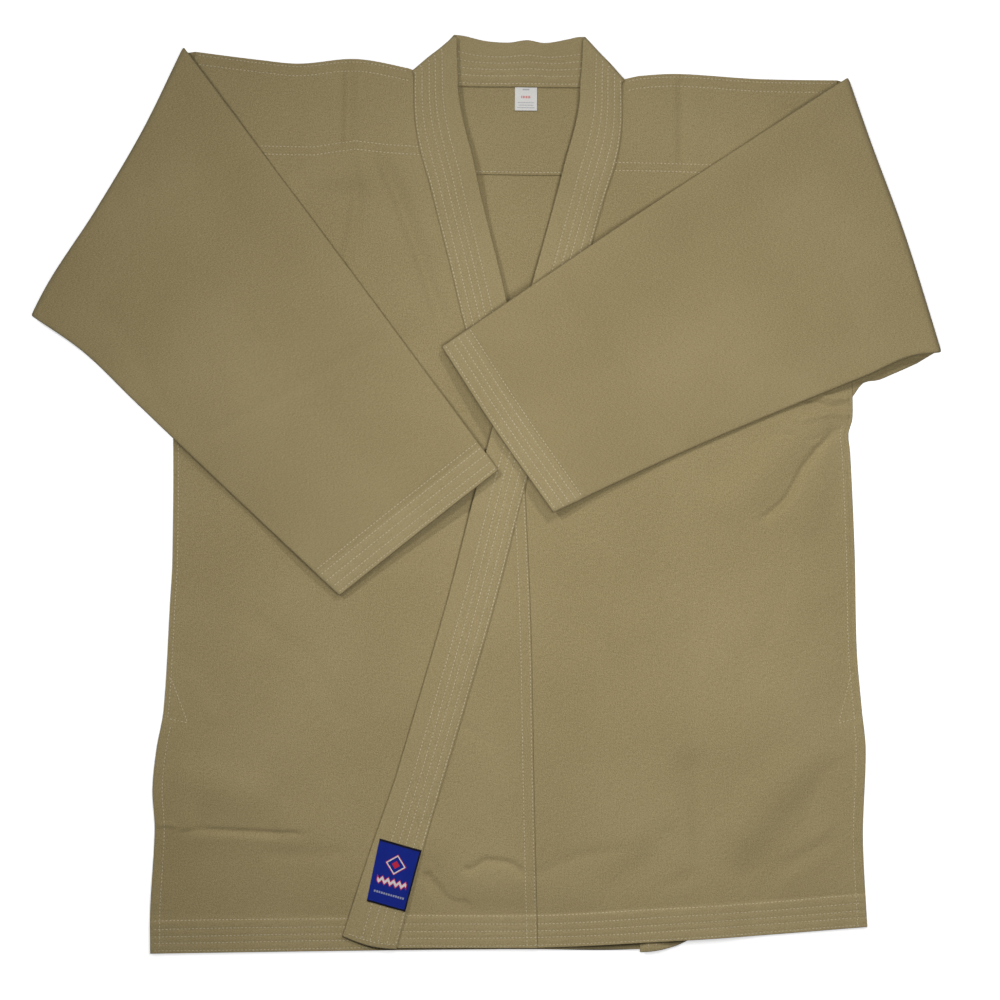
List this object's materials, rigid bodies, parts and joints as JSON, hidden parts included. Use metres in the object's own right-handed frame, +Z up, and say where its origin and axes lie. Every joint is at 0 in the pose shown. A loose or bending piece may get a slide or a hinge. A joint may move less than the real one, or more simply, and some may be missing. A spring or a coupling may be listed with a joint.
{
  "type": "karate uniform jacket",
  "caption": "Wrap-front canvas training jacket laid flat on its back, with both wide sleeves folded inward across the front and a stitched collar band.",
  "frame": {"origin": "on the surface that the jacket lies on, under the middle of its outline seen from above", "axes": "+Y from the hem to the collar, +X to the right for someone looking down on the front, which is the wearer's left, +Z up from the surface"},
  "size_m": [0.818, 0.8266, 0.0188],
  "materials": {
    "canvas": "matt khaki cotton canvas with a fine close weave and cream stitching",
    "woven_patch": "dense woven blue patch with a dark border",
    "white_tape": "smooth white tape"
  },
  "bodies": {
    "root": {"back": "canvas", "back_yoke": "canvas", "front_right": "canvas", "overlap_right": "canvas", "front_left": "canvas", "overlap_left": "canvas", "lapel_right": "canvas", "lapel_left": "canvas", "collar_back": "canvas", "sleeve_right": "canvas", "sleeve_left": "canvas", "label_patch": "woven_patch", "size_tag": "white_tape"}
  },
  "joints": []
}
